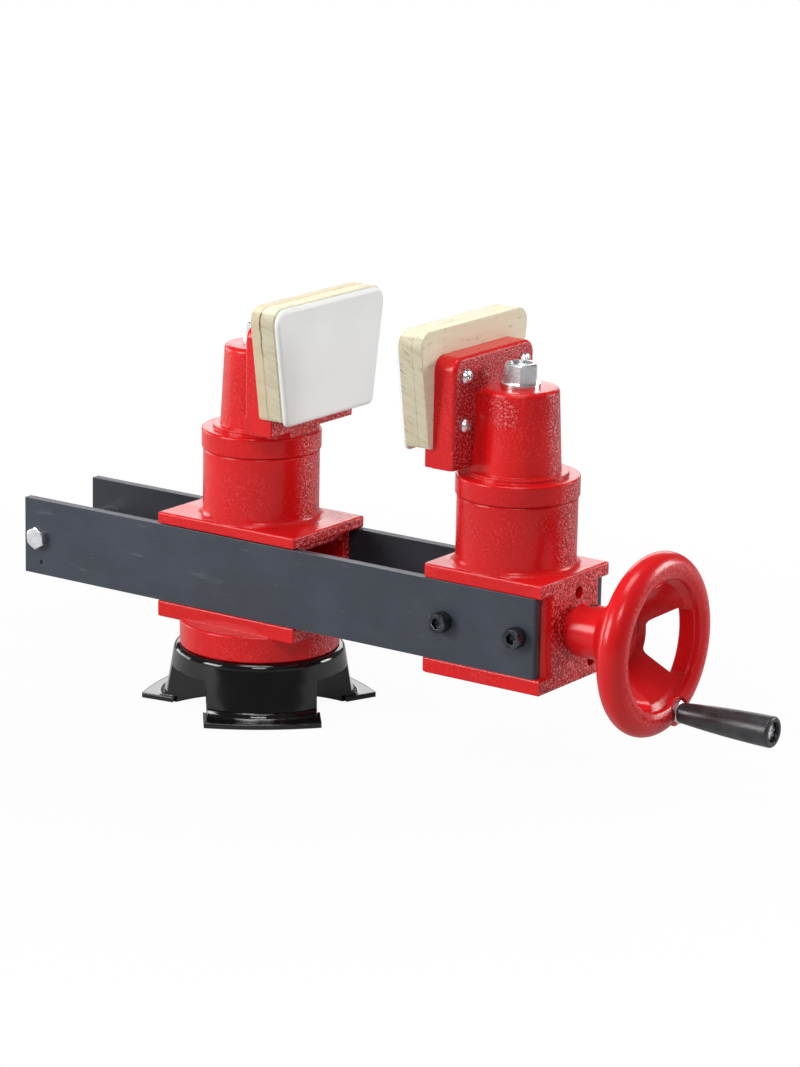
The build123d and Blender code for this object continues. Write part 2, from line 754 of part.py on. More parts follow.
def wheel_screw():
    start = (hub_rear + 8, 0, screw_height + journal_radius + running_gap)
    return rod(wheel_screw_radius, wheel_screw_length, start, (0, 0, 1))


def handle_spindle():
    """Rod that the grip turns on, screwed into the rim, with a head sunk in the grip."""
    length = spindle_head_x - handle_face + spindle_embed
    shaft = rod(spindle_radius, length, (handle_face - spindle_embed, handle_y, handle_z), (1, 0, 0))
    head = rod(spindle_head_radius, spindle_head_height, (spindle_head_x, handle_y, handle_z),
               (1, 0, 0))
    slot = block(spindle_head_x + spindle_head_height - 1.2, grip_end, handle_y - 5, handle_y + 5,
                 handle_z - 0.6, handle_z + 0.6)
    return shaft + head - slot


def spindle_nut():
    nut = hexagon(spindle_nut_flats, spindle_nut_height, (handle_face, handle_y, handle_z),
                  (1, 0, 0))
    return nut - rod(spindle_radius + running_gap, spindle_nut_height,
                     (handle_face, handle_y, handle_z), (1, 0, 0))


def handle_grip():
    """Tapered grip, thicker towards its free end, with a recess for the spindle head."""
    r0, r1, e = grip_root_radius, grip_end_radius, grip_end_rounding
    bore = spindle_radius + running_gap
    start = Polyline((bore, 0), (r0 - 0.6, 0), (r0, 0.8))
    side = ThreePointArc((r0, 0.8), ((r0 + r1) / 2 + 0.5, grip_length * 0.45),
                         (r1, grip_length - e))
    nose = RadiusArc((r1, grip_length - e), (r1 - e, grip_length), -e)
    deep = grip_length - grip_recess_depth
    back = Polyline((r1 - e, grip_length), (grip_recess_radius, grip_length),
                    (grip_recess_radius, deep), (bore, deep), (bore, 0))
    grip = revolve(Plane.XZ * make_face([start, side, nose, back]), Axis.Z)
    return Plane(origin=(grip_root, handle_y, handle_z), z_dir=(1, 0, 0)) * grip


# Assembly


def at_front(shape):
    """Turn a jaw piece to face the rear jaw and stand it on the front column."""
    place = Pos(jaw_axis_spacing, 0, 0) * Rot(0, 0, 180)
    return [place * s for s in shape] if isinstance(shape, list) else place * shape


nodes = {
    "base_tripod": base_tripod(),
    "pivot_post": pivot_post(),
    "pivot_washer": pivot_washer(),
    "pivot_nut": pivot_nut(),
    "lock_screw": lock_screw(),
    "carriage": carriage(),
    "lead_nut": lead_nut(),
    "lead_nut_screws": lead_nut_screws(),
    "near_rail": rail(-1),
    "far_rail": rail(1),
    "front_block": front_block(),
    "near_block_screws": block_screws(-1),
    "far_block_screws": block_screws(1),
    "tie_bolt": tie_bolt(),
    "tie_spacer": tie_spacer(),
    "tie_washer": tie_washer(),
    "tie_nut": tie_nut(),
    "rear_screw_bush": screw_bush("rear"),
    "front_screw_bush": screw_bush("front"),
    "end_screws": end_screws(),
    "lead_screw": lead_screw(),
    "thrust_washer": thrust_washer(),
    "thrust_collar": thrust_collar(),
    "handwheel": handwheel(),
    "wheel_screw": wheel_screw(),
    "handle_spindle": handle_spindle(),
    "spindle_nut": spindle_nut(),
    "handle_grip": handle_grip(),
}

jaw_pieces = {
    "jaw": jaw(),
    "pad_backing": pad_backing(),
    "pad_board": pad_board(),
    "pad_facing": pad_facing(),
    "pad_screws": pad_screws(),
    "jaw_stud": jaw_stud(),
    "jaw_washer": jaw_washer(),
    "jaw_nut": jaw_nut(),
}
for name, shape in jaw_pieces.items():
    nodes["rear_" + name] = shape
    nodes["front_" + name] = at_front(shape)

os.makedirs("parts", exist_ok=True)
for name, shape in nodes.items():
    whole = Compound(children=shape) if isinstance(shape, list) else shape
    export_step(whole, f"parts/{name}.step")
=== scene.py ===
import json
import math

import bmesh
import bpy
from mathutils import Matrix, Vector


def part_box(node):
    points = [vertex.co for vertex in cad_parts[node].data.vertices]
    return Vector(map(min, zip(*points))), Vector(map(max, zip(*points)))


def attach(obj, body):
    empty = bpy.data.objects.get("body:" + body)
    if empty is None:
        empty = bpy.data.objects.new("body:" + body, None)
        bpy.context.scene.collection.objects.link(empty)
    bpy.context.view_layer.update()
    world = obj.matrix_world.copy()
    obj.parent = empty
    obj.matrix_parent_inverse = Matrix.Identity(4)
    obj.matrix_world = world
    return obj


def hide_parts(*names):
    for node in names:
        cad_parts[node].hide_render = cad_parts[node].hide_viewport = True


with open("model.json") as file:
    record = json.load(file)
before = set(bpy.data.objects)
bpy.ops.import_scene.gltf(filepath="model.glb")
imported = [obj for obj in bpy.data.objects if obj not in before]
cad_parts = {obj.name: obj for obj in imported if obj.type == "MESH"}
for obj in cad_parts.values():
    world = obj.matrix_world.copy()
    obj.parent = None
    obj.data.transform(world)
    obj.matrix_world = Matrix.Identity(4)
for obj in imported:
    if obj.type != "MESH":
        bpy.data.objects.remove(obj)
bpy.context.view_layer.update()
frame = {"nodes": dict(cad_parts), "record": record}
nodes = frame["nodes"]
scene = bpy.context.scene
mm = 0.001
white = (1, 1, 1, 1)
bevelSamples = 6
joinWithin = 2e-6
sameWithin = 1e-6
print("frame loaded:", len(nodes), "nodes")


# A shader socket that can be used in plain sums.
class Wire:
    def __init__(self, tree, socket=None):
        self.tree = tree
        self.socket = socket

    def make(self, kind, settings=None, sockets=None, take=0):
        made = self.tree.nodes.new(kind)
        for name, value in (settings or {}).items():
            setattr(made, name, value)
        for key, value in (sockets or {}).items():
            if isinstance(value, Wire):
                self.tree.links.new(value.socket, made.inputs[key])
            else:
                made.inputs[key].default_value = value
        return Wire(self.tree, made.outputs[take])

    def number(self, operation, *values):
        return self.make("ShaderNodeMath", {"operation": operation}, dict(enumerate(values)))

    def vector(self, operation, *others, take="Value"):
        return self.make("ShaderNodeVectorMath", {"operation": operation},
                         dict(enumerate((self, *others))), take)

    def __add__(self, other):
        return self.number("ADD", self, other)

    def __sub__(self, other):
        return self.number("SUBTRACT", self, other)

    def __rsub__(self, other):
        return self.number("SUBTRACT", other, self)

    def __mul__(self, other):
        return self.number("MULTIPLY", self, other)

    def __abs__(self):
        return self.number("ABSOLUTE", self)

    def step(self, low, high):
        return self.make("ShaderNodeMapRange", {"interpolation_type": "SMOOTHSTEP"},
                         {"Value": self, "From Min": low, "From Max": high})

    def between(self, low, high):
        return self.make("ShaderNodeMapRange", None,
                         {"Value": self, "To Min": low, "To Max": high})

    def noise(self, scale, detail=2.0, rough=0.5, stretch=None, twist=0.0):
        place = self.vector("MULTIPLY", stretch, take="Vector") if stretch else self
        return place.make("ShaderNodeTexNoise", None,
                          {"Vector": place, "Scale": scale, "Detail": detail,
                           "Roughness": rough, "Distortion": twist})

    def colour(self, first, second):
        return self.make("ShaderNodeMix", {"data_type": "RGBA"},
                         {0: self, 6: first, 7: second}, 2)

    def part(self, axis):
        return self.make("ShaderNodeSeparateXYZ", None, {0: self}, axis)

    def bump(self, depth, strength, under=None):
        sockets = {"Height": self, "Distance": depth, "Strength": strength}
        if under:
            sockets["Normal"] = under
        return self.make("ShaderNodeBump", None, sockets)

    def to(self, shader, name):
        self.tree.links.new(self.socket, shader.inputs[name])


def newFinish(name, **sockets):
    material = bpy.data.materials.new(name)
    material.use_nodes = True
    tree = material.node_tree
    shader = tree.nodes["Principled BSDF"]
    for key, value in sockets.items():
        shader.inputs[key.replace("_", " ")].default_value = value
    return material, shader, Wire(tree).make("ShaderNodeTexCoord", take="Object")


def softEdge(place, radius):
    return place.make("ShaderNodeBevel", {"samples": bevelSamples}, {"Radius": radius})


def edgeMask(soft, low, high):
    face = soft.make("ShaderNodeNewGeometry", take="Normal")
    return (1 - soft.vector("DOT_PRODUCT", face)).step(low, high)


# Camera, where the photograph was taken from.
cameraSet = {
    "azimuth": 34.768,
    "elevation": 14.652,
    "roll": 1.095,
    "target": (0.10791, 0.0, 0.12687),
    "distance": 2.4091,
    "lens": 131.07,
    "reach": 50,
}


def placeCamera(s):
    a, e, roll = (math.radians(s[k]) for k in ("azimuth", "elevation", "roll"))
    back = Vector((math.sin(a) * math.cos(e), -math.cos(a) * math.cos(e), math.sin(e)))
    right = Vector((math.cos(a), math.sin(a), 0))
    up = right.cross(-back)
    tilted = right * math.cos(roll) + up * math.sin(roll)
    upright = up * math.cos(roll) - right * math.sin(roll)
    camera = bpy.data.objects.new("camera", bpy.data.cameras.new("camera"))
    camera.data.lens = s["lens"]
    camera.data.clip_end = s["reach"]
    place = Matrix((tilted, upright, back)).transposed().to_4x4()
    place.translation = Vector(s["target"]) + back * s["distance"]
    camera.matrix_world = place
    scene.collection.objects.link(camera)
    scene.camera = camera


placeCamera(cameraSet)
print("camera placed")


# Lights: a dim room, a broad key from the near left, a low panel at the left, a lamp
# above, a small one from the near right, and two behind that catch tops and far edges.
# Each lamp has its name, place, width, height and power.
lightSet = {
    "room": 0.16,
    "lamps": (
        ("keyLamp", (-1.15, -1.88, 1.02), 1.0, 1.0, 39.0),
        ("leftPanel", (-2.25, -0.10, 0.36), 1.6, 0.7, 16.0),
        ("topLamp", (0.10, -0.15, 2.1), 0.9, 0.9, 19.0),
        ("frontLamp", (1.15, -1.55, 1.75), 0.7, 0.4, 14.0),
        ("rimLamp", (1.55, 1.75, 0.75), 0.8, 0.7, 26.0),
        ("backPanel", (-1.45, 2.0, 0.85), 2.4, 0.8, 15.0),
    ),
    "aim": (0.1, 0.0, 0.12),
}


def placeLights(s):
    for name, place, wide, high, power in s["lamps"]:
        lamp = bpy.data.lights.new(name, "AREA")
        lamp.shape = "RECTANGLE"
        lamp.size = wide
        lamp.size_y = high
        lamp.energy = power
        thing = bpy.data.objects.new(name, lamp)
        thing.location = place
        toward = Vector(s["aim"]) - Vector(place)
        thing.rotation_euler = toward.to_track_quat("-Z", "Y").to_euler()
        scene.collection.objects.link(thing)


# The room lights the part dimly, and the camera sees it white.
def paintRoom(s):
    world = bpy.data.worlds.new("room")
    scene.world = world
    world.use_nodes = True
    tree = world.node_tree
    for old in list(tree.nodes):
        tree.nodes.remove(old)
    start = Wire(tree)
    seen = start.make("ShaderNodeLightPath", take="Is Camera Ray")
    room = start.make("ShaderNodeBackground", None,
                      {"Color": white, "Strength": seen.between(s["room"], 1.0)})
    room.to(tree.nodes.new("ShaderNodeOutputWorld"), "Surface")


placeLights(lightSet)
paintRoom(lightSet)
scene.view_settings.view_transform = "Standard"

# Floor: white for the camera, with a faint soft shadow under the foot.
floorSet = {
    "size": 12.0,
    "drop": 0.5 * mm,
    "colour": (0.55, 0.55, 0.55, 1),
    "dull": 0.9,
    "shine": 0.1,
    "near": 0.20,
    "far": 0.60,
    "shade": 0.04,
}


def makeFloor(s):
    mesh = bpy.data.meshes.new("floor")
    half = s["size"] / 2
    corners = [(-half, -half, 0), (half, -half, 0), (half, half, 0), (-half, half, 0)]
    mesh.from_pydata(corners, [], [(0, 1, 2, 3)])
    floor = bpy.data.objects.new("floor", mesh)
    floor.location.z = -s["drop"]
    scene.collection.objects.link(floor)
    material, shader, place = newFinish("floorPaper", Base_Color=s["colour"],
                                        Roughness=s["dull"],
                                        Specular_IOR_Level=s["shine"])
    paper = Wire(place.tree, shader.outputs[0])
    seen = place.make("ShaderNodeLightPath", take="Is Camera Ray")
    away = place.vector("LENGTH").step(s["near"], s["far"])
    glow = place.make("ShaderNodeEmission", None, {"Color": white, "Strength": 1.0})
    share = away.between(1 - s["shade"], 1.0) * seen
    lit = place.make("ShaderNodeMixShader", None, {0: share, 1: paper, 2: glow})
    lit.to(place.tree.nodes["Material Output"], "Surface")
    mesh.materials.append(material)


makeFloor(floorSet)
print("room and floor ready")


# In the settings of a finish, "corner" is the radius that the light sees on an edge,
# "...Range" the values between which a mask opens, "...Tint" the strength of a colour,
# "...Dull" a share of the roughness and "...Relief" a share of the height.

# Red enamel, sprayed over castings. The sand texture shows in patches, along edges, at
# the spots and over the sides that face the grazing light, toward the given direction.
# Its bright grains carry painted glints and its pits painted shade; edges carry a
# painted highlight.
enamelSet = {
    "coat": 0.10,
    "coatDull": 0.06,
    "shine": 0.28,
    "dull": 0.20,
    "corner": 1.2 * mm,
    "rimRange": (0.02, 0.22),
    "red": (0.700, 0.0070, 0.0085, 1),
    "deep": (0.570, 0.0045, 0.0060, 1),
    "edge": (0.80, 0.065, 0.075, 1),
    "glint": (0.90, 0.42, 0.46, 1),
    "pitShade": (0.115, 0.001, 0.004, 1),
    "cloud": {"scale": 14, "detail": 3},
    "cloudRange": (0.3, 0.7),
    "grain": {"scale": 820.0, "detail": 2.0, "rough": 0.55},
    "glintRange": (0.54, 0.62),
    "pitRange": (0.38, 0.47),
    "patch": {"scale": 24.0, "detail": 2},
    "patchRange": (0.46, 0.62),
    "glintSide": (0.956, 0.292, 0.0),
    "glintSideRange": (0.80, 0.97),
    "sand": 1.0,
    "patchSand": 0.07,
    "glintSideSand": 0.8,
    "rimSand": 0.28,
    "leastSand": 0.03,
    "spotSand": 0.45,
    "spots": (((0.197, -0.0243, 0.220), 0.012),),
    "spotFade": 0.004,
    "spotWander": {"scale": 90, "detail": 2},
    "wanderBy": 0.01,
    "rimHighlightTint": 0.45,
    "pitShadeTint": 1.2,
    "glintTint": 0.65,
    "sandDull": 0.15,
    "grainDull": 0.04,
    "wave": {"scale": 60, "detail": 1},
    "waveRelief": 0.12,
    "patchRelief": 0.12,
    "leastRelief": 0.03,
    "depth": 1.2 * mm,
    "bump": 0.7,
}
# The wheel's reds are a brighter copy of the castings' reds: painted light for the stronger
# light on the wheel. It also has less sand.
brightenedWheelSet = {
    **enamelSet,
    "red": (0.72, 0.009, 0.012, 1),
    "deep": (0.64, 0.007, 0.010, 1),
    "sand": 0.35,
    "corner": 1.0 * mm,
    "dull": 0.23,
}


def redEnamel(name, s):
    material, shader, place = newFinish(name, Coat_Weight=s["coat"],
                                        Coat_Roughness=s["coatDull"],
                                        Specular_IOR_Level=s["shine"])
    soft = softEdge(place, s["corner"])
    rim = edgeMask(soft, *s["rimRange"])
    normal = place.make("ShaderNodeTexCoord", take="Normal")
    # The sides that face the grazing light, where the sand with its painted glints and
    # painted pit shade is strongest.
    onGlintSide = normal.vector("DOT_PRODUCT", s["glintSide"]).step(*s["glintSideRange"])
    patch = place.noise(**s["patch"]).step(*s["patchRange"])
    sand = (patch * s["patchSand"] + onGlintSide * s["glintSideSand"] + rim * s["rimSand"]
            + s["leastSand"]) * s["sand"]
    for centre, radius in s["spots"]:
        wander = place.noise(**s["spotWander"]) * s["wanderBy"]
        away = place.vector("DISTANCE", centre) + wander
        near = 1 - away.step(radius, radius + s["spotFade"])
        sand = sand + near * s["spotSand"] * s["sand"]
    grain = place.noise(**s["grain"])
    glints = grain.step(*s["glintRange"])
    shadedPits = 1 - grain.step(*s["pitRange"])
    base = place.noise(**s["cloud"]).step(*s["cloudRange"]).colour(s["deep"], s["red"])
    # Edges lightened toward a paler pink: a painted highlight.
    base = (rim * s["rimHighlightTint"]).colour(base, s["edge"])
    # Painted shade in the pits of the sand.
    base = (shadedPits * sand * s["pitShadeTint"]).colour(base, s["pitShade"])
    # Painted glints on the bright grains of the sand.
    (glints * sand * s["glintTint"]).colour(base, s["glint"]).to(shader, "Base Color")
    (sand * s["sandDull"] + grain * s["grainDull"] + s["dull"]).to(shader, "Roughness")
    rise = sand + patch * s["patchRelief"] * s["sand"] + s["leastRelief"]
    height = grain * rise + place.noise(**s["wave"]) * s["waveRelief"]
    height.bump(s["depth"], s["bump"], soft).to(shader, "Normal")
    return material


# Black enamel on the pressed foot.
footSet = {
    "shine": 0.6,
    "corner": 1.4 * mm,
    "black": (0.0020, 0.0020, 0.0025, 1),
    "dusty": (0.0045, 0.0045, 0.0055, 1),
    "haze": {"scale": 40, "detail": 4, "rough": 0.6},
    "hazeRange": (0.45, 0.75),
    "dull": 0.03,
    "hazeDull": 0.06,
    "wave": {"scale": 45, "detail": 1},
    "depth": 0.5 * mm,
    "bump": 0.2,
}


def blackEnamel(s):
    material, shader, place = newFinish("blackEnamel", Specular_IOR_Level=s["shine"])
    soft = softEdge(place, s["corner"])
    haze = place.noise(**s["haze"])
    haze.step(*s["hazeRange"]).colour(s["black"], s["dusty"]).to(shader, "Base Color")
    (haze * s["hazeDull"] + s["dull"]).to(shader, "Roughness")
    place.noise(**s["wave"]).bump(s["depth"], s["bump"], soft).to(shader, "Normal")
    return material


# Satin slate paint on the rails, with painted shade on the sides that face each other
# and a painted highlight along the edges.
railSet = {
    "shine": 0.35,
    "corner": 0.5 * mm,
    "rimRange": (0.03, 0.25),
    "slate": (0.046, 0.053, 0.070, 1),
    "dark": (0.037, 0.043, 0.058, 1),
    "deep": (0.010, 0.012, 0.015, 1),
    "edge": (0.34, 0.36, 0.39, 1),
    "cloud": {"scale": 22, "detail": 4, "rough": 0.6},
    "cloudRange": (0.35, 0.65),
    "insideRange": (33.0 * mm, 34.0 * mm),
    "scuff": {"scale": 260, "detail": 3, "rough": 0.7, "stretch": (0.12, 1, 1)},
    "scuffRange": (0.62, 0.72),
    "insideShadeTint": 0.6,
    "rimHighlightTint": 0.85,
    "scuffTint": 0.10,
    "dull": 0.34,
    "cloudDull": 0.14,
    "scuffDull": 0.1,
    "fine": {"scale": 1500, "detail": 1.5},
    "depth": 0.2 * mm,
    "bump": 0.35,
}


def railPaint(s):
    material, shader, place = newFinish("railPaint", Specular_IOR_Level=s["shine"])
    soft = softEdge(place, s["corner"])
    rim = edgeMask(soft, *s["rimRange"])
    cloud = place.noise(**s["cloud"])
    scuff = place.noise(**s["scuff"]).step(*s["scuffRange"])
    shadedInside = 1 - abs(place.part(1)).step(*s["insideRange"])
    base = cloud.step(*s["cloudRange"]).colour(s["dark"], s["slate"])
    # Painted shade on the sides that face each other.
    base = (shadedInside * s["insideShadeTint"]).colour(base, s["deep"])
    # Edges get a painted highlight and scuffs real wear, both toward the same pale grey.
    sheenAndScuff = rim * s["rimHighlightTint"] + scuff * s["scuffTint"]
    sheenAndScuff.colour(base, s["edge"]).to(shader, "Base Color")
    (cloud * s["cloudDull"] + scuff * s["scuffDull"] + s["dull"]).to(shader, "Roughness")
    place.noise(**s["fine"]).bump(s["depth"], s["bump"], soft).to(shader, "Normal")
    return material


# Bare metals. What they share comes first.
metalSet = {
    "metal": 1.0,
    "corner": 0.25 * mm,
    "rimRange": (0.02, 0.20),
    "rim": (0.85, 0.86, 0.88, 1),
    "cloud": {"scale": 120, "detail": 4, "rough": 0.65},
    "cloudRange": (0.3, 0.7),
    "fine": {"scale": 2400, "detail": 2, "rough": 0.6},
    "rimHighlightTint": 0.35,
    "cloudDull": 0.16,
    "fineDull": 0.08,
    "fineRelief": 0.5,
    "cloudRelief": 0.5,
    "depth": 0.15 * mm,
    "bump": 0.3,
}
zincSet = {
    **metalSet,
    "light": (0.90, 0.91, 0.93, 1),
    "dark": (0.70, 0.72, 0.75, 1),
    "dull": 0.16,
}
oxideSet = {
    **metalSet,
    "metal": 0.85,
    "light": (0.085, 0.092, 0.108, 1),
    "dark": (0.030, 0.033, 0.04, 1),
    "dull": 0.14,
}
turnedSet = {
    **metalSet,
    "light": (0.62, 0.62, 0.64, 1),
    "dark": (0.46, 0.46, 0.48, 1),
    "dull": 0.16,
}
bronzeSet = {
    **metalSet,
    "light": (0.66, 0.45, 0.21, 1),
    "dark": (0.40, 0.25, 0.10, 1),
    "dull": 0.20,
}


def bareMetal(name, s):
    material, shader, place = newFinish(name, Metallic=s["metal"])
    soft = softEdge(place, s["corner"])
    rim = edgeMask(soft, *s["rimRange"])
    cloud = place.noise(**s["cloud"])
    fine = place.noise(**s["fine"])
    base = cloud.step(*s["cloudRange"]).colour(s["dark"], s["light"])
    # Edges lightened: a painted highlight, partly wear.
    (rim * s["rimHighlightTint"]).colour(base, s["rim"]).to(shader, "Base Color")
    (cloud * s["cloudDull"] + fine * s["fineDull"] + s["dull"]).to(shader, "Roughness")
    height = fine * s["fineRelief"] + cloud * s["cloudRelief"]
    height.bump(s["depth"], s["bump"], soft).to(shader, "Normal")
    return material


# Pale softwood boards: grain along the pad, short slanting pores on the cut ends, and a
# glue line at "seam" that has opened above "opened". "tanned" is for the rear board.
woodSet = {
    "shine": 0.22,
    "corner": 1.1 * mm,
    "pale": (0.90, 0.84, 0.64, 1),
    "warm": (0.80, 0.71, 0.51, 1),
    "cut": (0.60, 0.555, 0.41, 1),
    "cutWarm": (0.50, 0.43, 0.29, 1),
    "pore": (0.27, 0.22, 0.15, 1),
    "glue": (0.085, 0.065, 0.045, 1),
    "olive": (0.36, 0.33, 0.22, 1),
    "tan": (0.66, 0.49, 0.28, 1),
    "slant": -0.38,
    "cutRange": (0.45, 0.7),
    "rings": {"scale": 150, "detail": 3, "rough": 0.6, "stretch": (1.0, 0.07, 1.0),
              "twist": 0.9},
    "ringRange": (0.34, 0.68),
    "ringTint": 0.5,
    "fibre": {"scale": 900, "detail": 3, "rough": 0.65, "stretch": (1.0, 0.05, 1.0)},
    "fibreTint": 0.3,
    "cutFibreTint": 0.25,
    "dashes": {"scale": 620, "detail": 2, "stretch": (1.0, 0.16, 0.8)},
    "dashRange": (0.62, 0.72),
    "dashTint": 0.4,
    "pores": {"scale": 780, "detail": 2, "rough": 0.55, "stretch": (0.20, 0.6, 1.0)},
    "poreRange": (0.56, 0.68),
    "bands": {"scale": 210, "detail": 3, "rough": 0.6, "stretch": (0.14, 0.5, 1.0),
              "twist": 0.4},
    "bandRange": (0.4, 0.65),
    "bandTint": 0.6,
    "flock": {"scale": 42, "detail": 2},
    "flockRange": (0.38, 0.62),
    "flockTint": 0.6,
    "leastTint": 0.15,
    "wander": {"scale": 95, "detail": 3, "rough": 0.6},
    "wanderBy": 4.5 * mm,
    "sideRange": (-0.1 * mm, 0.1 * mm),
    "lineRange": (0.28 * mm, 0.8 * mm),
    "openRange": (-12 * mm, 6 * mm),
    "crack": {"scale": 170, "detail": 2},
    "crackRange": (0.30, 0.50),
    "lineTint": 0.4,
    "crackTint": 0.85,
    "dull": 0.55,
    "fibreDull": 0.2,
    "fibreRelief": 0.5,
    "ringRelief": 0.3,
    "markRelief": 0.6,
    "depth": 0.5 * mm,
    "bump": 0.5,
}
rearWoodSet = {
    **woodSet,
    "seam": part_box("rear_pad_backing")[1].x,
    "opened": 0.245,
    "pitted": 0.45,
    "tanned": 0.35,
}
frontWoodSet = {
    **woodSet,
    "seam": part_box("front_pad_backing")[0].x + 0.05,
    "opened": 0.5,
    "pitted": 1.0,
    "tanned": 0.0,
}


def paleWood(name, s):
    material, shader, place = newFinish(name, Specular_IOR_Level=s["shine"])
    soft = softEdge(place, s["corner"])
    sideways = place.make("ShaderNodeTexCoord", take="Normal").part(1)
    cut = (sideways * sideways).step(*s["cutRange"])
    slanted = place.make("ShaderNodeVectorRotate", {"rotation_type": "Y_AXIS"},
                         {"Vector": place, "Angle": s["slant"]})
    rings = place.noise(**s["rings"])
    fibre = place.noise(**s["fibre"])
    dashes = place.noise(**s["dashes"]).step(*s["dashRange"])
    pores = slanted.noise(**s["pores"]).step(*s["poreRange"])
    bands = slanted.noise(**s["bands"]).step(*s["bandRange"])
    flock = place.noise(**s["flock"]).step(*s["flockRange"])
    often = flock * s["flockTint"] + s["leastTint"]
    marks = (1 - cut) * dashes * s["dashTint"] + cut * pores * often * s["pitted"]
    along = rings.step(*s["ringRange"]) * s["ringTint"] + fibre * s["fibreTint"]
    across = bands * s["bandTint"] + fibre * s["cutFibreTint"]
    base = cut.colour(along.colour(s["pale"], s["warm"]),
                      across.colour(s["cut"], s["cutWarm"]))
    base = marks.colour(base, s["pore"])

    wander = (place.noise(**s["wander"]) - 0.5) * s["wanderBy"]
    off = place.part(0) - s["seam"] + wander
    behind = 1 - off.step(*s["sideRange"])
    line = 1 - abs(off).step(*s["lineRange"])
    high = place.part(2).step(*(s["opened"] + away for away in s["openRange"]))
    crack = place.noise(**s["crack"]).step(*s["crackRange"]) * high * line * cut
    base = (behind * s["tanned"]).colour(base, s["tan"])
    base = (line * s["lineTint"]).colour(base, s["olive"])
    (crack * s["crackTint"]).colour(base, s["glue"]).to(shader, "Base Color")
    (fibre * s["fibreDull"] + s["dull"]).to(shader, "Roughness")
    raised = fibre * s["fibreRelief"] + rings * s["ringRelief"]
    height = raised - marks * s["markRelief"] - crack
    height.bump(s["depth"], s["bump"], soft).to(shader, "Normal")
    return material


# Milky facing on the pads.
milkSet = {
    "shine": 0.3,
    "milk": (0.845, 0.865, 0.85, 1),
    "shade": (0.80, 0.82, 0.805, 1),
    "cloud": {"scale": 20, "detail": 3, "rough": 0.5},
    "fleck": {"scale": 1100, "detail": 2, "rough": 0.6},
    "cloudTint": 0.8,
    "fleckTint": 0.2,
    "milkRange": (0.3, 0.7),
    "dull": 0.45,
    "cloudDull": 0.10,
    "cloudRelief": 0.5,
    "fleckRelief": 0.3,
    "depth": 0.3 * mm,
    "bump": 0.3,
}


def whiteFacing(s):
    material, shader, place = newFinish("whiteFacing", Specular_IOR_Level=s["shine"])
    cloud = place.noise(**s["cloud"])
    fleck = place.noise(**s["fleck"])
    milk = (cloud * s["cloudTint"] + fleck * s["fleckTint"]).step(*s["milkRange"])
    milk.colour(s["shade"], s["milk"]).to(shader, "Base Color")
    (cloud * s["cloudDull"] + s["dull"]).to(shader, "Roughness")
    height = cloud * s["cloudRelief"] + fleck * s["fleckRelief"]
    height.bump(s["depth"], s["bump"]).to(shader, "Normal")
    return material


# Black moulded grip.
gripSet = {
    "shine": 0.5,
    "corner": 0.5 * mm,
    "black": (0.026, 0.026, 0.030, 1),
    "sheenAndScuff": (0.055, 0.056, 0.062, 1),
    "cloud": {"scale": 70, "detail": 3, "rough": 0.6},
    "cloudRange": (0.4, 0.7),
    "streak": {"scale": 500, "detail": 2, "rough": 0.6, "stretch": (0.06, 1, 1)},
    "dull": 0.22,
    "cloudDull": 0.16,
    "streakDull": 0.08,
    "streakRelief": 0.4,
    "cloudRelief": 0.6,
    "depth": 0.5 * mm,
    "bump": 0.3,
}


def blackGrip(s):
    material, shader, place = newFinish("blackGrip", Specular_IOR_Level=s["shine"])
    soft = softEdge(place, s["corner"])
    cloud = place.noise(**s["cloud"])
    streak = place.noise(**s["streak"])
    cloud.step(*s["cloudRange"]).colour(s["black"], s["sheenAndScuff"]).to(shader, "Base Color")
    dull = cloud * s["cloudDull"] + streak * s["streakDull"] + s["dull"]
    dull.to(shader, "Roughness")
    height = streak * s["streakRelief"] + cloud * s["cloudRelief"]
    height.bump(s["depth"], s["bump"], soft).to(shader, "Normal")
    return material


# Finishes by slot, and the few nodes that have their own.
finishes = {
    "red_enamel": redEnamel("redEnamel", enamelSet),
    "black_enamel": blackEnamel(footSet),
    "rail_paint": railPaint(railSet),
    "zinc_plate": bareMetal("zincPlate", zincSet),
    "black_oxide": bareMetal("blackOxide", oxideSet),
    "turned_steel": bareMetal("turnedSteel", turnedSet),
    "bronze": bareMetal("bronze", bronzeSet),
    "pale_wood": paleWood("rearWood", rearWoodSet),
    "white_facing": whiteFacing(milkSet),
    "black_grip": blackGrip(gripSet),
}
frontWood = paleWood("frontWood", frontWoodSet)
ownFinishes = {
    "front_pad_backing": frontWood,
    "front_pad_board": frontWood,
    "handwheel": redEnamel("wheelRedBrightened", brightenedWheelSet),
}
slots = {s["node"]: s["material_slot"] for s in frame["record"]["subparts"]}

for name, thing in nodes.items():
    thing.data.materials.clear()
    thing.data.materials.append(ownFinishes.get(name, finishes[slots[name]]))
print("finishes on every node")


# Rows of points joined into one skin. Each row closes on itself, "turned" rows further on
# where the skin is a thread, and a point in the middle closes each end.
def rowSkin(rows, turned=0):
    form = bmesh.new()
    grid = [[form.verts.new(p) for p in row] for row in rows]
    for k in range(len(grid) - 1 - turned):
        near, far = grid[k], grid[k + 1]
        for i in range(len(near) - 1):
            form.faces.new((near[i], near[i + 1], far[i + 1], far[i]))
        form.faces.new((near[-1], grid[k + turned][0], grid[k + 1 + turned][0], far[-1]))
    return form, grid


def closeEnd(form, row):
    middle = form.verts.new(sum((v.co for v in row), Vector()) / len(row))
    for a, b in zip(row, row[1:] + row[:1]):
        form.faces.new((a, b, middle))


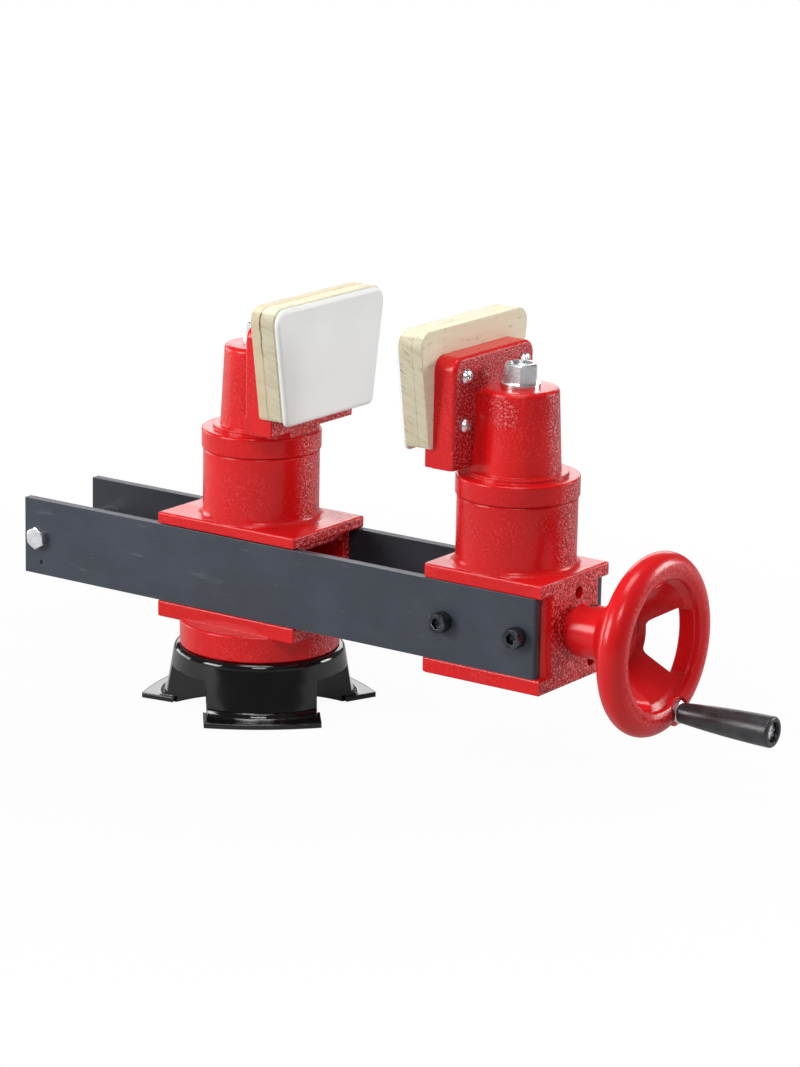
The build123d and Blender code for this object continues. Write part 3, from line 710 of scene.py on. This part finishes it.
def finishPiece(name, form, body, node, slot, crease):
    bmesh.ops.remove_doubles(form, verts=form.verts, dist=joinWithin)
    bmesh.ops.recalc_face_normals(form, faces=form.faces)
    mesh = bpy.data.meshes.new(name)
    form.to_mesh(mesh)
    form.free()
    mesh.shade_smooth()
    mesh.set_sharp_from_angle(angle=math.radians(crease))
    mesh.materials.append(finishes[slot])
    piece = bpy.data.objects.new(name, mesh)
    scene.collection.objects.link(piece)
    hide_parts(node)
    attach(piece, body)


# Facings: the outline of the CAD sheet, with a soft round front edge and a faint hollow.
facingSet = {
    "points": 240,
    "digits": 7,
    "reach": 2,
    "backEdge": 0.3 * mm,
    "round": 2.6 * mm,
    "steps": 7,
    "hollow": 0.35 * mm,
    "inner": (0.97, 0.9, 0.75, 0.5, 0.25, 0.1),
    "crease": 40,
}


# The corners of a node at one x, set out again at even distances along the outline.
def faceOutline(node, x, s):
    found = {(round(v.co.y, s["digits"]), round(v.co.z, s["digits"]))
             for v in nodes[node].data.vertices if abs(v.co.x - x) < sameWithin}
    middle = Vector((sum(p[0] for p in found), sum(p[1] for p in found))) / len(found)
    around = sorted((Vector(p) for p in found), key=lambda p: math.atan2(*(p - middle).yx))
    sides = [(b - a).length for a, b in zip(around, around[1:] + around[:1])]
    pace = sum(sides) / s["points"]
    even, left, start = [], 0.0, 0
    for i in range(s["points"]):
        while start < len(sides) - 1 and left + sides[start] <= i * pace:
            left += sides[start]
            start += 1
        share = (i * pace - left) / sides[start]
        even.append(around[start].lerp(around[(start + 1) % len(around)], share))
    return even, middle


def insetOutline(points, depth, reach):
    moved = []
    for i, p in enumerate(points):
        along = (points[(i + reach) % len(points)] - points[i - reach]).normalized()
        moved.append(p + Vector((-along.y, along.x)) * depth)
    return moved


def makeFacing(name, node, body, forward, s):
    low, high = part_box(node)
    back, front = (low.x, high.x) if forward > 0 else (high.x, low.x)
    outline, middle = faceOutline(node, front, s)
    inset = insetOutline(outline, s["backEdge"], s["reach"])
    rows = [[Vector((back, *p)) for p in inset],
            [Vector((back + forward * s["backEdge"], *p)) for p in outline]]
    for i in range(s["steps"] + 1):
        turn = math.pi / 2 * i / s["steps"]
        rim = insetOutline(outline, s["round"] * (1 - math.cos(turn)), s["reach"])
        x = front - forward * s["round"] * (1 - math.sin(turn))
        rows.append([Vector((x, *p)) for p in rim])
    for share in s["inner"]:
        x = front - forward * s["hollow"] * 4 * share * (1 - share)
        rows.append([Vector((x, *middle.lerp(p, share))) for p in rim])
    form, grid = rowSkin(rows)
    closeEnd(form, grid[0])
    closeEnd(form, grid[-1])
    finishPiece(name, form, body, node, "white_facing", s["crease"])


makeFacing("rearFacing", "rear_pad_facing", "rear_jaw", 1, facingSet)
makeFacing("frontFacing", "front_pad_facing", "front_jaw", -1, facingSet)
print("facings built")


# Lead screw: right-hand trapezoidal thread, then a plain journal through the block. The
# profile gives places along one turn with 1 for the crest and 0 for the root.
threadSet = {
    "crest": 8.0 * mm,
    "root": 6.1 * mm,
    "lead": 4.0 * mm,
    "profile": ((0.0, 1), (0.366, 1), (0.5, 0), (0.866, 0)),
    "spareTurns": 2,
    "shoulder": 0.15315,
    "journal": 7.0 * mm,
    "journalBevel": 0.5 * mm,
    "bevel": 1.6 * mm,
    "around": 40,
    "crease": 35,
}


def threadRadius(phase, s):
    stops = s["profile"] + ((1.0, 1),)
    phase %= 1.0
    for (a, first), (b, second) in zip(stops, stops[1:]):
        if phase <= b:
            share = first + (second - first) * (phase - a) / (b - a)
            return s["root"] + (s["crest"] - s["root"]) * share


def makeLeadScrew(s):
    low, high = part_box("lead_screw")
    start, shoulder, height = low.x, s["shoulder"], (low.z + high.z) / 2
    count, per = s["around"], len(s["profile"])

    def pointAt(x, r, i):
        angle = 2 * math.pi * i / count
        return Vector((x, r * math.cos(angle), height + r * math.sin(angle)))

    turns = math.ceil((shoulder - start) / s["lead"]) + s["spareTurns"]
    rows = []
    for k in range(turns * per):
        row = []
        for i in range(count):
            x = start + s["lead"] * (k // per - 1 + s["profile"][k % per][0] + i / count)
            x = min(max(x, start), shoulder)
            r = threadRadius((x - start) / s["lead"] - i / count, s)
            row.append(pointAt(x, min(r, s["crest"] - s["bevel"] + x - start), i))
        rows.append(row)
    form, grid = rowSkin(rows, per)
    closeEnd(form, grid[0])
    lines = [grid[-1]]
    for x, r in ((shoulder, s["journal"]), (high.x - s["journalBevel"], s["journal"]),
                 (high.x, s["journal"] - s["journalBevel"])):
        lines.append([form.verts.new(pointAt(x, r, i)) for i in range(count)])
    for a, b in zip(lines, lines[1:]):
        for i in range(count):
            j = (i + 1) % count
            form.faces.new((a[i], a[j], b[j], b[i]))
    closeEnd(form, lines[-1])
    finishPiece("leadScrew", form, "screw", "lead_screw", "turned_steel", s["crease"])


makeLeadScrew(threadSet)
print("lead screw built")


# Socket cap screws in the rails: knurled heads, hexagon sockets, plain shanks. The edges
# of the head are given by the distance from its end and what the radius loses there.
capSet = {
    "head": 6.6 * mm,
    "tall": 8.0 * mm,
    "shank": 4.0 * mm,
    "long": 20.0 * mm,
    "tip": 0.6 * mm,
    "lowerEdge": ((0.0, 0.5 * mm), (0.4 * mm, 0.25 * mm)),
    "upperEdge": ((1.0 * mm, 0.25 * mm), (0.3 * mm, 0.5 * mm), (0.0, 0.9 * mm)),
    "knurl": 0.22 * mm,
    "knurlFrom": 0.8 * mm,
    "knurlTo": 1.3 * mm,
    "socket": 6.0 * mm,
    "socketEdge": 0.45 * mm,
    "deep": 4.2 * mm,
    "cone": 0.8 * mm,
    "coneEnd": 0.5 * mm,
    "turns": (0.2, 0.9),
    "around": 96,
    "crease": 30,
}


def capRows(s):
    def hexAt(grow):
        return lambda i: (s["socket"] / 2 + grow) / math.cos(
            (2 * math.pi * i / s["around"]) % (math.pi / 3) - math.pi / 6)

    def disc(r):
        return lambda i: r

    def knurled(i):
        return s["head"] - (s["knurl"] if i % 2 else 0)

    tall, bottom = s["tall"], s["tall"] - s["deep"]
    return (
        (-s["long"], disc(s["shank"] - s["tip"])),
        (-s["long"] + s["tip"], disc(s["shank"])),
        (0, disc(s["shank"])),
        *((up, disc(s["head"] - less)) for up, less in s["lowerEdge"]),
        (s["knurlFrom"], knurled),
        (tall - s["knurlTo"], knurled),
        *((tall - down, disc(s["head"] - less)) for down, less in s["upperEdge"]),
        (tall, hexAt(s["socketEdge"])),
        (tall - s["socketEdge"], hexAt(0)),
        (bottom, hexAt(0)),
        (bottom - s["cone"], disc(s["coneEnd"])),
    )


def makeCapScrews(name, node, side, s):
    low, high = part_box(node)
    seat = low.y + s["tall"] if side < 0 else high.y - s["tall"]
    height = (low.z + high.z) / 2
    form = bmesh.new()
    for x, turn in zip((low.x + s["head"], high.x - s["head"]), s["turns"]):
        rows = []
        for out, radiusAt in capRows(s):
            row = []
            for i in range(s["around"]):
                angle = 2 * math.pi * i / s["around"] + turn
                r = radiusAt(i)
                row.append(Vector((x + r * math.cos(angle), seat + side * out,
                                   height + r * math.sin(angle))))
            rows.append(row)
        single, grid = rowSkin(rows)
        closeEnd(single, grid[0])
        closeEnd(single, grid[-1])
        part = bpy.data.meshes.new("part")
        single.to_mesh(part)
        single.free()
        form.from_mesh(part)
        bpy.data.meshes.remove(part)
    finishPiece(name, form, "frame", node, "black_oxide", s["crease"])


makeCapScrews("nearCapScrews", "near_block_screws", -1, capSet)
makeCapScrews("farCapScrews", "far_block_screws", 1, capSet)
print("cap screws built")

print("done")
